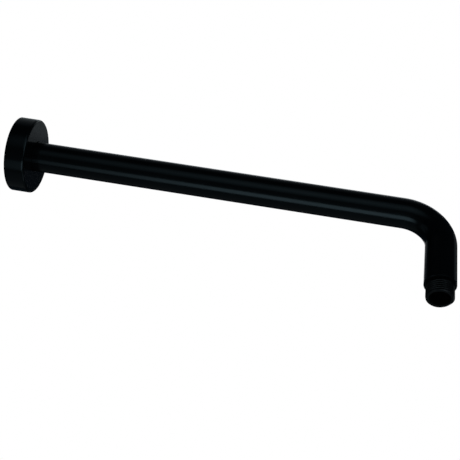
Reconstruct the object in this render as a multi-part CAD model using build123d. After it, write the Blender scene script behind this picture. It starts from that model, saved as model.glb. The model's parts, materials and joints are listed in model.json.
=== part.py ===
from build123d import *

import os

# Wall-mounted shower arm: a bent tube with a threaded nipple brazed into each end, and a round wall flange
# that slides and turns on the tube, held where it is put by a squeezed rubber ring.
# Sizes are millimetres. The origin is where the arm's axis meets the wall. +X runs along the arm, away from
# the wall, +Z is up, and the outlet points down.

# Tube
tube_diameter = 24.0
tube_wall = 1.2
tube_edge = 0.4  # chamfer round the outside of each end
arm_reach = 345.0  # wall to the outlet's axis
outlet_drop = 80.3  # arm's axis to the outlet's end face
bend_radius = 30.0  # at the tube's centreline

# Nipples, with a half-inch parallel pipe thread outside and the water bore inside
thread_diameter = 20.955  # over the crests
thread_depth = 1.162  # crest to root
outlet_thread_length = 12.3  # stands out of the tube, relief groove and lead chamfer included
inlet_thread_length = 13.5
thread_relief = 1.2  # groove between the tube's end and the thread
thread_lead = 0.5  # chamfer at the thread's free end
nipple_wall = 1.5  # thread's root to the water bore
bore_edge = 0.2  # chamfer at each mouth of the bore
plug_length = 12.0  # part of a nipple that is brazed inside the tube
plug_lead = 0.8  # chamfer that guides the plug into the tube
braze_gap = 0.05  # all round the plug

# Wall flange, turned as a shallow cup with a collar round the tube
flange_diameter = 60.0
flange_depth = 16.0
flange_rim_wall = 2.0
flange_face_wall = 2.5
flange_front_round = 1.8  # outer edge of the front face
flange_inner_round = 1.2  # where the face meets the rim and the collar, inside the cup
flange_back_edge = 0.3  # chamfer round the outside of the rim, at the wall
collar_lip = 1.55  # collar on each side of the ring's groove
collar_wall = 2.9  # groove's floor to the collar's outside
collar_edge = 0.4  # chamfer at each mouth of the flange's bore
slide_clearance = 0.2  # flange's bore to the tube, all round
tube_overlap = 1.0  # tube standing out behind the collar, with the flange at the wall

# Rubber ring, in a groove inside the collar
ring_thickness = 2.65  # before it is squeezed
ring_squeeze = 0.32  # thickness taken up between the tube and the groove's floor
ring_gap = 0.03  # ring to the tube, and ring to the groove's floor
ring_room = 0.75  # free width of the groove beside the ring

# Worked out from the sizes above
tube_radius = tube_diameter / 2
tube_bore_radius = tube_radius - tube_wall
groove_depth = ring_thickness - ring_squeeze  # tube to the groove's floor
groove_width = ring_thickness + ring_room
groove_radius = tube_radius + groove_depth
collar_back = flange_depth - groove_width - 2 * collar_lip
groove_middle = flange_depth - groove_width / 2 - collar_lip
tube_start = collar_back - tube_overlap
tube_end_drop = outlet_drop - outlet_thread_length

# Planes whose normal is the axis that a piece is turned about
along_arm = Plane(origin=(0, 0, 0), z_dir=(1, 0, 0))
inlet_end = Plane(origin=(tube_start, 0, 0), z_dir=(-1, 0, 0))
outlet_end = Plane(origin=(arm_reach, 0, -tube_end_drop), z_dir=(0, 0, -1))


def turned(half_section):
    """The solid that a half section, drawn as (radius, height), makes about +Z."""
    return revolve(Plane.XZ * half_section, Axis.Z)


def rounded(half_section, corner, radius):
    """The half section with the corner at a given (radius, height) rounded off."""
    vertex = half_section.vertices().sort_by_distance(corner)[0]
    return fillet(vertex, radius)


def make_arm_tube():
    """The round tube: a straight run, one bend, and the drop to the outlet."""
    bend_corner = (arm_reach, 0, 0)
    path = FilletPolyline(inlet_end.origin, bend_corner, outlet_end.origin, radius=bend_radius)
    ring = Circle(tube_radius) - Circle(tube_bore_radius)
    tube = sweep((path ^ 0) * ring, path)
    inlet_face = tube.faces().sort_by(Axis.X)[0]
    outlet_face = tube.faces().sort_by(Axis.Z)[0]
    outer_edges = inlet_face.outer_wire().edges() + outlet_face.outer_wire().edges()
    return chamfer(outer_edges, tube_edge)


def make_nipple(thread_length):
    """A nipple about +Z. Height 0 is the tube's end, with the plug below it and the thread above."""
    crest = thread_diameter / 2
    root = crest - thread_depth
    bore = root - nipple_wall
    plug = tube_bore_radius - braze_gap
    outline = Polyline(
        (bore, bore_edge - plug_length),
        (bore + bore_edge, -plug_length),
        (plug - plug_lead, -plug_length),
        (plug, plug_lead - plug_length),
        (plug, 0),
        (root, 0),
        (root, thread_relief),
        (crest, thread_relief),
        (crest, thread_length - thread_lead),
        (crest - thread_lead, thread_length),
        (bore + bore_edge, thread_length),
        (bore, thread_length - bore_edge),
        close=True,
    )
    return turned(make_face(outline))


def make_wall_flange():
    """The flange about +Z. Height 0 is the wall, and the cup opens towards it."""
    rim = flange_diameter / 2
    rim_inside = rim - flange_rim_wall
    face_inside = flange_depth - flange_face_wall
    collar = groove_radius + collar_wall
    bore = tube_radius + slide_clearance
    outline = Polyline(
        (rim - flange_back_edge, 0),
        (rim, flange_back_edge),
        (rim, flange_depth),
        (bore + collar_edge, flange_depth),
        (bore, flange_depth - collar_edge),
        (bore, collar_back + collar_edge),
        (bore + collar_edge, collar_back),
        (collar, collar_back),
        (collar, face_inside),
        (rim_inside, face_inside),
        (rim_inside, 0),
        close=True,
    )
    section = make_face(outline)
    section = rounded(section, (rim, flange_depth), flange_front_round)
    section = rounded(section, (collar, face_inside), flange_inner_round)
    section = rounded(section, (rim_inside, face_inside), flange_inner_round)
    groove = Pos(groove_radius / 2, groove_middle) * Rectangle(groove_radius, groove_width)
    return turned(section - groove)


def make_flange_ring():
    """The rubber ring about +Z, with the flats that the tube and the groove's floor press on it."""
    squeezed = Rectangle(groove_depth - 2 * ring_gap, groove_width)
    section = Circle(ring_thickness / 2) & squeezed
    return turned(Pos(tube_radius + groove_depth / 2, groove_middle) * section)


pieces = {
    "arm_tube": make_arm_tube(),
    "inlet_nipple": inlet_end * make_nipple(inlet_thread_length),
    "outlet_nipple": outlet_end * make_nipple(outlet_thread_length),
    "wall_flange": along_arm * make_wall_flange(),
    "flange_ring": along_arm * make_flange_ring(),
}

os.makedirs("parts", exist_ok=True)
for name, piece in pieces.items():
    export_step(piece, f"parts/{name}.step")
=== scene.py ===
import json
import math

import bmesh
import bpy
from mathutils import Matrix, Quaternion, Vector


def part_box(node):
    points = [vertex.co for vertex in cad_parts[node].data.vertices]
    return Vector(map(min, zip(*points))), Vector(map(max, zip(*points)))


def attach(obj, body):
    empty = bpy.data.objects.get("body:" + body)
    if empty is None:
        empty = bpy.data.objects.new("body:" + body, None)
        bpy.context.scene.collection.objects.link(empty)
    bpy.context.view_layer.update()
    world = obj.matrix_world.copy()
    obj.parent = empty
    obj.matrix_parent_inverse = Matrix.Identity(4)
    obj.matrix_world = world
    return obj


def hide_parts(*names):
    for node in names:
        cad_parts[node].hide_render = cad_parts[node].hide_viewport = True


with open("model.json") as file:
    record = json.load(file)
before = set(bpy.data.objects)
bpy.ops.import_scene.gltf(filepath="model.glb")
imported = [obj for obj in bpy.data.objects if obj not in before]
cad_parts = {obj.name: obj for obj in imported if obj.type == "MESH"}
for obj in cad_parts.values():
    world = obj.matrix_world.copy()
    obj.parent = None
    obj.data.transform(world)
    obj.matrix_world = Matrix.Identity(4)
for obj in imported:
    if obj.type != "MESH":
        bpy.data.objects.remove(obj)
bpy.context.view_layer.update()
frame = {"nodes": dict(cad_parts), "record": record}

# Shower arm in matte black: a bent tube, a threaded nipple in each end of it, and a round wall flange.
# Lengths are metres, in the frame of the solids: +X along the arm, away from the wall, and +Z up.

MM = 0.001
INCH = 25.4 * MM

# Tube
BEND_RADIUS = 30 * MM  # at the tube's centreline
TUBE_EDGE = 0.4 * MM  # chamfer round the outside of each end
BRAZE_GAP = 0.05 * MM  # nipple's plug to the tube's bore
TUBE_SEGMENTS = 144  # points in each ring
STRAIGHT_STEP = 6 * MM  # between rings of points on the straight runs
BEND_STEP = math.radians(3)  # between rings of points in the bend

# Nipples, with a half-inch parallel pipe thread
THREADS_PER_INCH = 14
THREAD_PITCH = INCH / THREADS_PER_INCH
THREAD_DEPTH = 1.162 * MM  # crest to root
THREAD_RELIEF = 1.2 * MM  # groove between the tube's end and the thread
THREAD_RUN_OUT = 0.7 * MM  # length over which the thread rises out of the relief groove
THREAD_LEAD = 0.5 * MM  # chamfer at the free end
NIPPLE_WALL = 1.5 * MM  # thread's root to the water bore
BORE_EDGE = 0.2 * MM  # chamfer at each mouth of the bore
PLUG_LENGTH = 12.0 * MM  # inside the tube
PLUG_LEAD = 0.8 * MM  # chamfer at the plug's inner end
NIPPLE_SEGMENTS = 160  # points in each ring
RINGS_PER_TURN = 24  # rings of points for each turn of the thread

SHARP_ANGLE = math.radians(38)  # edges that turn by more than this are shaded sharp

# Camera, below the arm and in front of it
CAMERA_PLACE = Vector((0.24866, -0.47426, -0.47808))
CAMERA_AIM = Vector((0.18559, 0.0, -0.04649))
CAMERA_FORWARD = (CAMERA_AIM - CAMERA_PLACE).normalized()
CAMERA_ROLL = math.radians(14.15)
CAMERA_LENS = 66.17  # focal length in millimetres
SENSOR_WIDTH = 36.0  # in millimetres
CAMERA_CLIP_START = 0.01

# Studio: radiance 1 is white
WHITE = (1, 1, 1, 1)
STUDIO_COLOUR = (0.014, 0.022, 0.032, 1)
CARD_INNER = math.radians(4)  # half angle of full white on the card that reflections see behind the arm
CARD_OUTER = math.radians(12)  # half angle at which the card has faded into the studio
FLOOR_HEIGHT = -0.95
FLOOR_SIZE = 120.0
FLOOR_COLOUR = (0.80, 0.80, 0.80, 1)
FLOOR_WHITE = 0.85  # share of plain white in what the camera sees of the near floor
FLOOR_FADE = (1.0, 12.0)  # from the origin: where the floor starts to turn white, and where it is white
LAMP_COLOUR = (0.88, 0.97, 1.0)
OPEN = 179  # spread of a lamp with no grid, in degrees
LAMPS = (
    # name, centre, facing, width, height, spread in degrees, radiance on its axis
    ("under_strip", (0.12, -0.09, -0.55), (0, 0.163, 0.987), 0.96, 0.26, OPEN, 3.6),
    ("front_softbox", (0.32, -1.0, -0.10), (0, 0.995, 0.10), 1.40, 0.95, 60, 1.25),
    ("overhead_softbox", (0.05, 0.10, 0.90), (0, 0, -1), 0.96, 1.48, OPEN, 0.32),
    ("back_fill", (0.25, 0.52, -0.47), (0, -0.743, 0.669), 1.40, 0.88, OPEN, 0.14),
    ("right_rim", (1.45, 0.45, 0.95), (-0.74, -0.27, -0.62), 0.60, 0.60, OPEN, 0.13),
    ("wall_side_softbox", (-1.70, -0.15, -0.30), (0.98, 0.06, 0.17), 1.40, 1.20, OPEN, 0.33),
    ("top_back_strip", (0.20, 0.28, 0.95), (0, -0.28, -0.96), 1.00, 0.20, OPEN, 1.0),
    ("right_softbox", (1.15, -0.80, -0.12), (-0.76, 0.64, 0.05), 1.20, 0.80, OPEN, 2.1),
    ("back_right_softbox", (1.12, 0.78, -0.51), (-0.65, -0.65, 0.40), 0.50, 0.50, OPEN, 1.5),
)
FADES = {
    # lamps that dim towards one side: axis, and where along it they reach nothing and their full radiance
    "under_strip": ("X", -0.26, 0.16),
    "overhead_softbox": ("Y", -1.10, 0.84),
}

# Finishes
NOISE_MIDDLE = (0.3, 0.7)  # range that nearly all of the noise lies in
CLOUD_SIZE = 22 * MM  # of the clouds in the colour
CLOUD_DETAIL = 3
PATCH_SIZE = 7 * MM  # of the patches in the roughness
PATCH_DETAIL = 4
BUMP_DETAIL = 2
COAT = {
    "dark": (0.0006, 0.0008, 0.0010, 1),
    "light": (0.0009, 0.0012, 0.0014, 1),
    "roughness": (0.16, 0.22),
    "specular": 0.09,
    "tint": (0.62, 0.88, 1.0, 1),
    "peel": (1.2 * MM, 0.006 * MM),
    "grain": (0.18 * MM, 0.001 * MM),
}
THREAD_COAT = COAT | {
    "roughness": (0.22, 0.28),
    "specular": 0.075,
    "tint": (0.80, 0.94, 1.0, 1),
    "peel": (0.7 * MM, 0.006 * MM),
    "grain": (0.12 * MM, 0.002 * MM),
}
RUBBER = {
    "dark": (0.006, 0.006, 0.006, 1),
    "light": (0.011, 0.011, 0.011, 1),
    "roughness": (0.55, 0.68),
    "specular": 0.3,
    "tint": WHITE,
    "peel": (0.5 * MM, 0.008 * MM),
    "grain": (0.08 * MM, 0.004 * MM),
}


def mount_radius(name):
    """The radius that the record gives a mount."""
    for mount in frame["record"]["mounts"]:
        if mount["name"] == name:
            return mount["dims"]["r_mm"] * MM
    raise KeyError(name)


def mesh_from_rings(name, rings):
    """A closed mesh that joins each ring of points to the next, and the last ring to the first."""
    count = len(rings[0])
    points = [point for ring in rings for point in ring]
    faces = []
    for index in range(len(rings)):
        here = index * count
        there = (index + 1) % len(rings) * count
        for step in range(count):
            after = (step + 1) % count
            faces.append((here + step, here + after, there + after, there + step))
    mesh = bpy.data.meshes.new(name)
    mesh.from_pydata(points, [], faces)
    shape = bmesh.new()
    shape.from_mesh(mesh)
    bmesh.ops.recalc_face_normals(shape, faces=shape.faces)
    shape.to_mesh(mesh)
    shape.free()
    mesh.polygons.foreach_set("use_smooth", [True] * len(mesh.polygons))
    mesh.set_sharp_from_angle(angle=SHARP_ANGLE)
    piece = bpy.data.objects.new(name, mesh)
    bpy.context.scene.collection.objects.link(piece)
    return piece


def make_arm_tube():
    """The bent tube: outside, both chamfered ends and the bore, as one closed surface."""
    low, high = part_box("arm_tube")
    outside = high.z
    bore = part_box("inlet_nipple")[1].y + BRAZE_GAP
    outlet_axis = high.x - outside
    straight = outlet_axis - BEND_RADIUS - low.x
    bend = BEND_RADIUS * math.pi / 2
    length = straight + bend - low.z - BEND_RADIUS
    bend_centre = Vector((outlet_axis - BEND_RADIUS, 0, -BEND_RADIUS))
    across = Vector((0, 1, 0))

    def ring(distance, radius):
        """Points round the centreline, at a distance along it from the wall end."""
        turn = min(max((distance - straight) / BEND_RADIUS, 0), math.pi / 2)
        outward = Vector((math.sin(turn), 0, math.cos(turn)))
        along = Vector((math.cos(turn), 0, -math.sin(turn)))
        off_bend = distance - straight - turn * BEND_RADIUS
        centre = bend_centre + outward * BEND_RADIUS + along * off_bend
        angles = [math.tau * step / TUBE_SEGMENTS for step in range(TUBE_SEGMENTS)]
        return [centre + (outward * math.cos(a) + across * math.sin(a)) * radius for a in angles]

    def spread(start, end, step):
        """Even distances from start up to end, without end itself, at most a step apart."""
        count = math.ceil((end - start) / step)
        return [start + (end - start) * index / count for index in range(count)]

    stations = spread(TUBE_EDGE, straight, STRAIGHT_STEP)
    stations += spread(straight, straight + bend, BEND_STEP * BEND_RADIUS)
    stations += spread(straight + bend, length - TUBE_EDGE, STRAIGHT_STEP)
    stations.append(length - TUBE_EDGE)
    rings = [ring(0, bore), ring(0, outside - TUBE_EDGE)]
    rings += [ring(distance, outside) for distance in stations]
    rings += [ring(length, outside - TUBE_EDGE), ring(length, bore)]
    rings += [ring(distance, bore) for distance in reversed(stations)]
    return mesh_from_rings("black_arm_tube", rings)


def make_nipple(node, mount, tube_end, outward):
    """A nipple with its right-hand thread. Heights run out of the tube, from the tube's end."""
    low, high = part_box(node)
    outward = Vector(outward)
    free_end = max((low - tube_end).dot(outward), (high - tube_end).dot(outward))
    first = Vector((0, 1, 0))
    second = outward.cross(first)
    crest = mount_radius(mount)
    root = crest - THREAD_DEPTH
    bore = root - NIPPLE_WALL
    plug = high.y
    angles = [math.tau * step / NIPPLE_SEGMENTS for step in range(NIPPLE_SEGMENTS)]

    def ring(height, radii):
        """Points round the axis, with a radius for each angle."""
        centre = tube_end + outward * height
        pairs = zip(angles, radii)
        return [centre + (first * math.cos(a) + second * math.sin(a)) * radius for a, radius in pairs]

    def plain(height, radius):
        """A round ring."""
        return ring(height, [radius] * NIPPLE_SEGMENTS)

    def threaded(height):
        """A ring across the thread, which rises out of the relief groove and ends in the lead chamfer."""
        rise = root + (height - THREAD_RELIEF) * THREAD_DEPTH / THREAD_RUN_OUT
        lead = crest - (height - free_end + THREAD_LEAD)
        turns = [height / THREAD_PITCH - angle / math.tau for angle in angles]
        waves = [crest - THREAD_DEPTH * (1 - math.cos(math.tau * turn)) / 2 for turn in turns]
        return ring(height, [min(wave, rise, lead) for wave in waves])

    thread_length = free_end - THREAD_RELIEF
    count = math.ceil(thread_length / THREAD_PITCH * RINGS_PER_TURN)
    heights = [THREAD_RELIEF + thread_length * index / count for index in range(count + 1)]
    rings = [
        plain(BORE_EDGE - PLUG_LENGTH, bore),
        plain(-PLUG_LENGTH, bore + BORE_EDGE),
        plain(-PLUG_LENGTH, plug - PLUG_LEAD),
        plain(PLUG_LEAD - PLUG_LENGTH, plug),
        plain(0, plug),
        plain(0, root),
    ]
    rings += [threaded(height) for height in heights]
    rings += [plain(free_end, bore + BORE_EDGE), plain(free_end - BORE_EDGE, bore)]
    return mesh_from_rings("threaded_" + node, rings)


def add_node(tree, kind, values=None):
    """A new shader node, with the named input sockets set."""
    node = tree.nodes.new(kind)
    for socket, value in (values or {}).items():
        node.inputs[socket].default_value = value
    return node


def add_math(tree, operation, first, second):
    """Two sockets joined by one operation."""
    node = tree.nodes.new("ShaderNodeMath")
    node.operation = operation
    tree.links.new(first, node.inputs[0])
    tree.links.new(second, node.inputs[1])
    return node.outputs["Value"]


def add_noise(tree, place, size, detail):
    """Noise with features of about the given size."""
    noise = add_node(tree, "ShaderNodeTexNoise", {"Scale": 1 / size, "Detail": detail})
    tree.links.new(place, noise.inputs["Vector"])
    return noise.outputs["Fac"]


def spread_to(tree, noise, low, high):
    """The middle of the noise's range, spread from low to high."""
    middle_low, middle_high = NOISE_MIDDLE
    limits = {"From Min": middle_low, "From Max": middle_high, "To Min": low, "To Max": high}
    ranged = add_node(tree, "ShaderNodeMapRange", limits)
    tree.links.new(noise, ranged.inputs["Value"])
    return ranged.outputs["Result"]


def add_bump(tree, height, distance, under=None):
    """A bump of the given depth, over another one if it is given."""
    bump = add_node(tree, "ShaderNodeBump", {"Strength": 1.0, "Distance": distance})
    tree.links.new(height, bump.inputs["Height"])
    if under:
        tree.links.new(under, bump.inputs["Normal"])
    return bump.outputs["Normal"]


def make_finish(name, dark, light, roughness, specular, tint, peel, grain):
    """A dark finish: cloudy colour, uneven roughness, and a bump of soft peel under a fine grain.

    roughness is its lowest and highest value; peel and grain are each a feature's size and its height.
    """
    material = bpy.data.materials.new(name)
    material.use_nodes = True
    tree = material.node_tree
    shader = tree.nodes["Principled BSDF"]
    shader.inputs["Specular IOR Level"].default_value = specular
    shader.inputs["Specular Tint"].default_value = tint
    place = tree.nodes.new("ShaderNodeTexCoord").outputs["Object"]

    cloud = add_noise(tree, place, CLOUD_SIZE, CLOUD_DETAIL)
    colour = tree.nodes.new("ShaderNodeMix")
    colour.data_type = "RGBA"
    colour.inputs["A"].default_value = dark
    colour.inputs["B"].default_value = light
    tree.links.new(spread_to(tree, cloud, 0, 1), colour.inputs["Factor"])
    tree.links.new(colour.outputs["Result"], shader.inputs["Base Color"])

    patches = add_noise(tree, place, PATCH_SIZE, PATCH_DETAIL)
    tree.links.new(spread_to(tree, patches, *roughness), shader.inputs["Roughness"])

    bump = None
    for size, height in (peel, grain):
        bump = add_bump(tree, add_noise(tree, place, size, BUMP_DETAIL), height, bump)
    tree.links.new(bump, shader.inputs["Normal"])
    return material


def dress(piece, material):
    """Gives the piece one material all over."""
    piece.data.materials.clear()
    piece.data.materials.append(material)


def add_looking(name, data, place, forward, roll=0):
    """A camera or lamp in the scene, which looks forward from its place."""
    holder = bpy.data.objects.new(name, data)
    holder.location = place
    holder.rotation_mode = "QUATERNION"
    holder.rotation_quaternion = Vector(forward).to_track_quat("-Z", "Y") @ Quaternion((0, 0, 1), roll)
    bpy.context.scene.collection.objects.link(holder)
    return holder


def make_camera():
    """The camera at the photograph's place."""
    camera = bpy.data.cameras.new("camera")
    camera.sensor_width = SENSOR_WIDTH
    camera.lens = CAMERA_LENS
    camera.clip_start = CAMERA_CLIP_START
    holder = add_looking("camera", camera, CAMERA_PLACE, CAMERA_FORWARD, CAMERA_ROLL)
    bpy.context.scene.camera = holder


def fade_lamp(lamp, axis, dark, bright):
    """Dims the lamp evenly along one axis, from its full radiance at bright to nothing at dark."""
    lamp.use_nodes = True
    tree = lamp.node_tree
    place = tree.nodes.new("ShaderNodeNewGeometry").outputs["Position"]
    parts = tree.nodes.new("ShaderNodeSeparateXYZ")
    tree.links.new(place, parts.inputs["Vector"])
    ramp = add_node(tree, "ShaderNodeMapRange", {"From Min": dark, "From Max": bright})
    tree.links.new(parts.outputs[axis], ramp.inputs["Value"])
    tree.links.new(ramp.outputs["Result"], tree.nodes["Emission"].inputs["Strength"])


def make_lamp(name, centre, facing, width, height, spread, radiance):
    """A rectangular softbox that the camera doesn't see. A grid keeps its light within the spread."""
    half = math.radians(spread) / 2
    through_grid = 1 - half / math.tan(half)  # share of the light that the grid lets through
    lamp = bpy.data.lights.new(name, "AREA")
    lamp.shape = "RECTANGLE"
    lamp.size = width
    lamp.size_y = height
    lamp.spread = 2 * half
    lamp.color = LAMP_COLOUR
    lamp.energy = radiance * math.pi * width * height * through_grid
    if name in FADES:
        fade_lamp(lamp, *FADES[name])
    holder = add_looking(name, lamp, centre, facing)
    holder.visible_camera = False


def mix_to_output(tree, share, plain, white, output_kind):
    """Sends two shaders to a new output: plain where the share is 0, and white where it is 1."""
    mix = tree.nodes.new("ShaderNodeMixShader")
    tree.links.new(share, mix.inputs["Fac"])
    tree.links.new(plain.outputs[0], mix.inputs[1])
    tree.links.new(white.outputs[0], mix.inputs[2])
    output = tree.nodes.new(output_kind)
    tree.links.new(mix.outputs["Shader"], output.inputs["Surface"])


def make_world():
    """A dim blue-grey studio, white all round for the camera and with a white card for reflections."""
    world = bpy.data.worlds.new("studio")
    world.use_nodes = True
    bpy.context.scene.world = world
    tree = world.node_tree
    tree.nodes.clear()
    ray = tree.nodes.new("ShaderNodeLightPath").outputs
    direction = tree.nodes.new("ShaderNodeTexCoord").outputs["Generated"]
    towards = tree.nodes.new("ShaderNodeVectorMath")
    towards.operation = "DOT_PRODUCT"
    towards.inputs[1].default_value = CAMERA_FORWARD
    tree.links.new(direction, towards.inputs[0])
    card_edge = {"From Min": math.cos(CARD_OUTER), "From Max": math.cos(CARD_INNER)}
    card = add_node(tree, "ShaderNodeMapRange", card_edge)
    card.interpolation_type = "SMOOTHSTEP"
    tree.links.new(towards.outputs["Value"], card.inputs["Value"])
    reflected = add_math(tree, "MULTIPLY", ray["Is Glossy Ray"], card.outputs["Result"])
    seen = add_math(tree, "MAXIMUM", ray["Is Camera Ray"], ray["Is Transmission Ray"])
    share = add_math(tree, "MAXIMUM", seen, reflected)
    studio = add_node(tree, "ShaderNodeBackground", {"Color": STUDIO_COLOUR, "Strength": 1.0})
    white = add_node(tree, "ShaderNodeBackground", {"Color": WHITE, "Strength": 1.0})
    mix_to_output(tree, share, studio, white, "ShaderNodeOutputWorld")


def make_floor():
    """A pale floor below the camera, which keeps the arm's soft shadow and fades to white further out."""
    bpy.ops.mesh.primitive_plane_add(size=FLOOR_SIZE, location=(0, 0, FLOOR_HEIGHT))
    floor = bpy.context.object
    floor.name = "floor"
    material = bpy.data.materials.new("pale_floor")
    material.use_nodes = True
    tree = material.node_tree
    tree.nodes.clear()
    ray = tree.nodes.new("ShaderNodeLightPath").outputs
    place = tree.nodes.new("ShaderNodeNewGeometry").outputs["Position"]
    away = tree.nodes.new("ShaderNodeVectorMath")
    away.operation = "LENGTH"
    tree.links.new(place, away.inputs[0])
    near, far = FLOOR_FADE
    limits = {"From Min": near, "From Max": far, "To Min": FLOOR_WHITE}
    fade = add_node(tree, "ShaderNodeMapRange", limits)
    tree.links.new(away.outputs["Value"], fade.inputs["Value"])
    share = add_math(tree, "MULTIPLY", ray["Is Camera Ray"], fade.outputs["Result"])
    matte = add_node(tree, "ShaderNodeBsdfDiffuse", {"Color": FLOOR_COLOUR})
    white = add_node(tree, "ShaderNodeEmission", {"Color": WHITE, "Strength": 1.0})
    mix_to_output(tree, share, matte, white, "ShaderNodeOutputMaterial")
    dress(floor, material)


coat = make_finish("black_coat", **COAT)
thread_finish = make_finish("black_thread_finish", **THREAD_COAT)
rubber = make_finish("seal_rubber_finish", **RUBBER)

arm_tube = make_arm_tube()
dress(arm_tube, coat)
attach(arm_tube, "arm")
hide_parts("arm_tube")

tube_low, tube_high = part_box("arm_tube")
inlet_end = Vector((tube_low.x, 0, 0))
outlet_end = Vector((tube_high.x - tube_high.z, 0, tube_low.z))
for node, mount, tube_end, outward in (
    ("inlet_nipple", "inlet_thread", inlet_end, (-1, 0, 0)),
    ("outlet_nipple", "outlet_thread", outlet_end, (0, 0, -1)),
):
    nipple = make_nipple(node, mount, tube_end, outward)
    dress(nipple, thread_finish)
    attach(nipple, "arm")
    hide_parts(node)

# The flange and its ring keep the meshes of the solids
frame["nodes"]["wall_flange"].material_slots[0].material = coat
frame["nodes"]["flange_ring"].material_slots[0].material = rubber

make_camera()
for lamp in LAMPS:
    make_lamp(*lamp)
make_world()
make_floor()
bpy.context.scene.view_settings.view_transform = "Standard"
